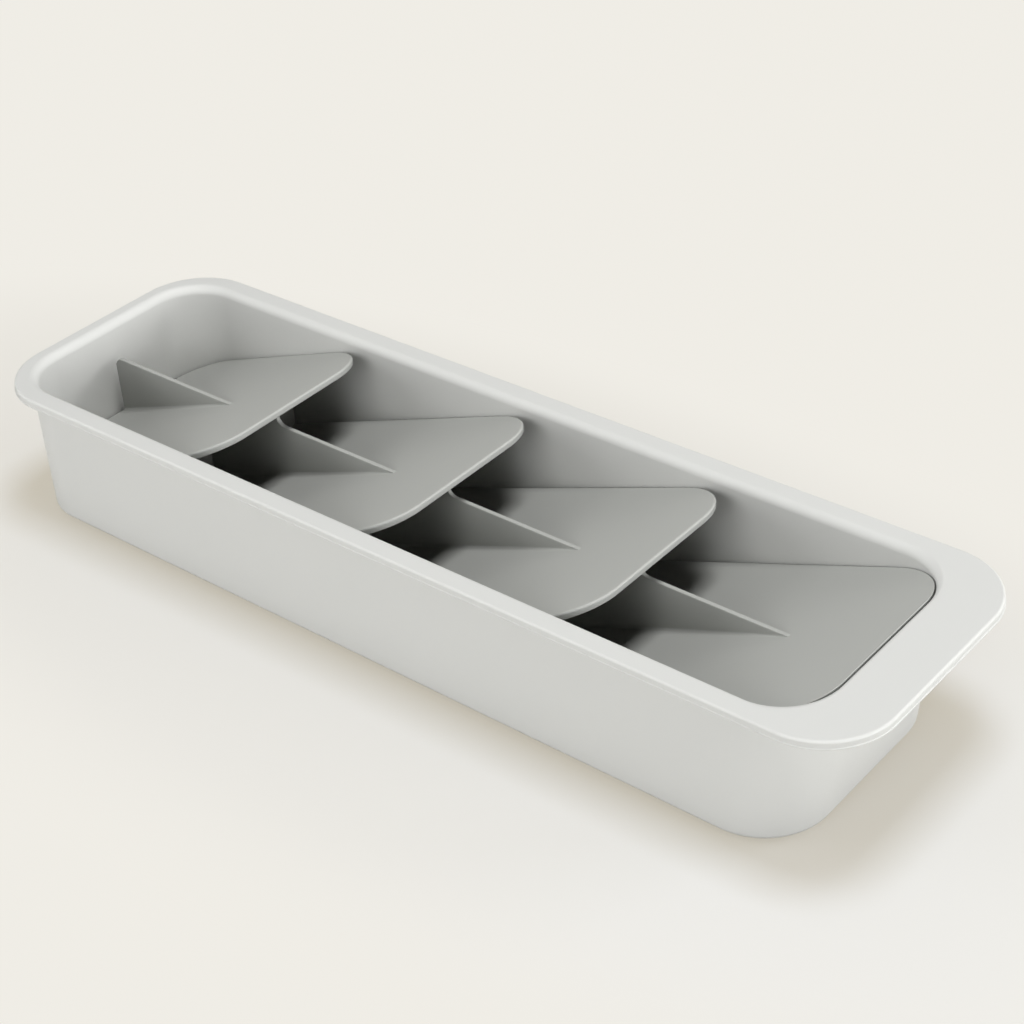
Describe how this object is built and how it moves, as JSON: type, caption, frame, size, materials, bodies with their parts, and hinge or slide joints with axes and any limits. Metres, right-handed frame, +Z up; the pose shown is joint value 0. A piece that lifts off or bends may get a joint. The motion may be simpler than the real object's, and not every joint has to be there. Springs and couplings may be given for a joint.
{
  "type": "cutlery organizer",
  "caption": "Long shallow drawer tray with overlapping sloping shelves, each split by an upright fin, that hold cutlery in stacked tiers; rolled rim, wide front flange and rubber feet.",
  "frame": {"origin": "on the plane that the feet stand on, below the middle of the rim's outline", "axes": "+X along the tray toward its wide front flange, which the shelves climb toward; +Y to the left of someone who looks along +X; +Z up"},
  "size_m": [0.396, 0.115, 0.0606],
  "materials": {
    "tray_plastic": "light warm grey, satin",
    "tier_plastic": "mid grey, satin",
    "foot_rubber": "dark grey, matte"
  },
  "bodies": {
    "root": {"tray": "tray_plastic", "tier_1": "tier_plastic", "tier_2": "tier_plastic", "tier_3": "tier_plastic", "tier_4": "tier_plastic", "foot_rear_left": "foot_rubber", "foot_rear_right": "foot_rubber", "foot_front_left": "foot_rubber", "foot_front_right": "foot_rubber"}
  },
  "joints": []
}
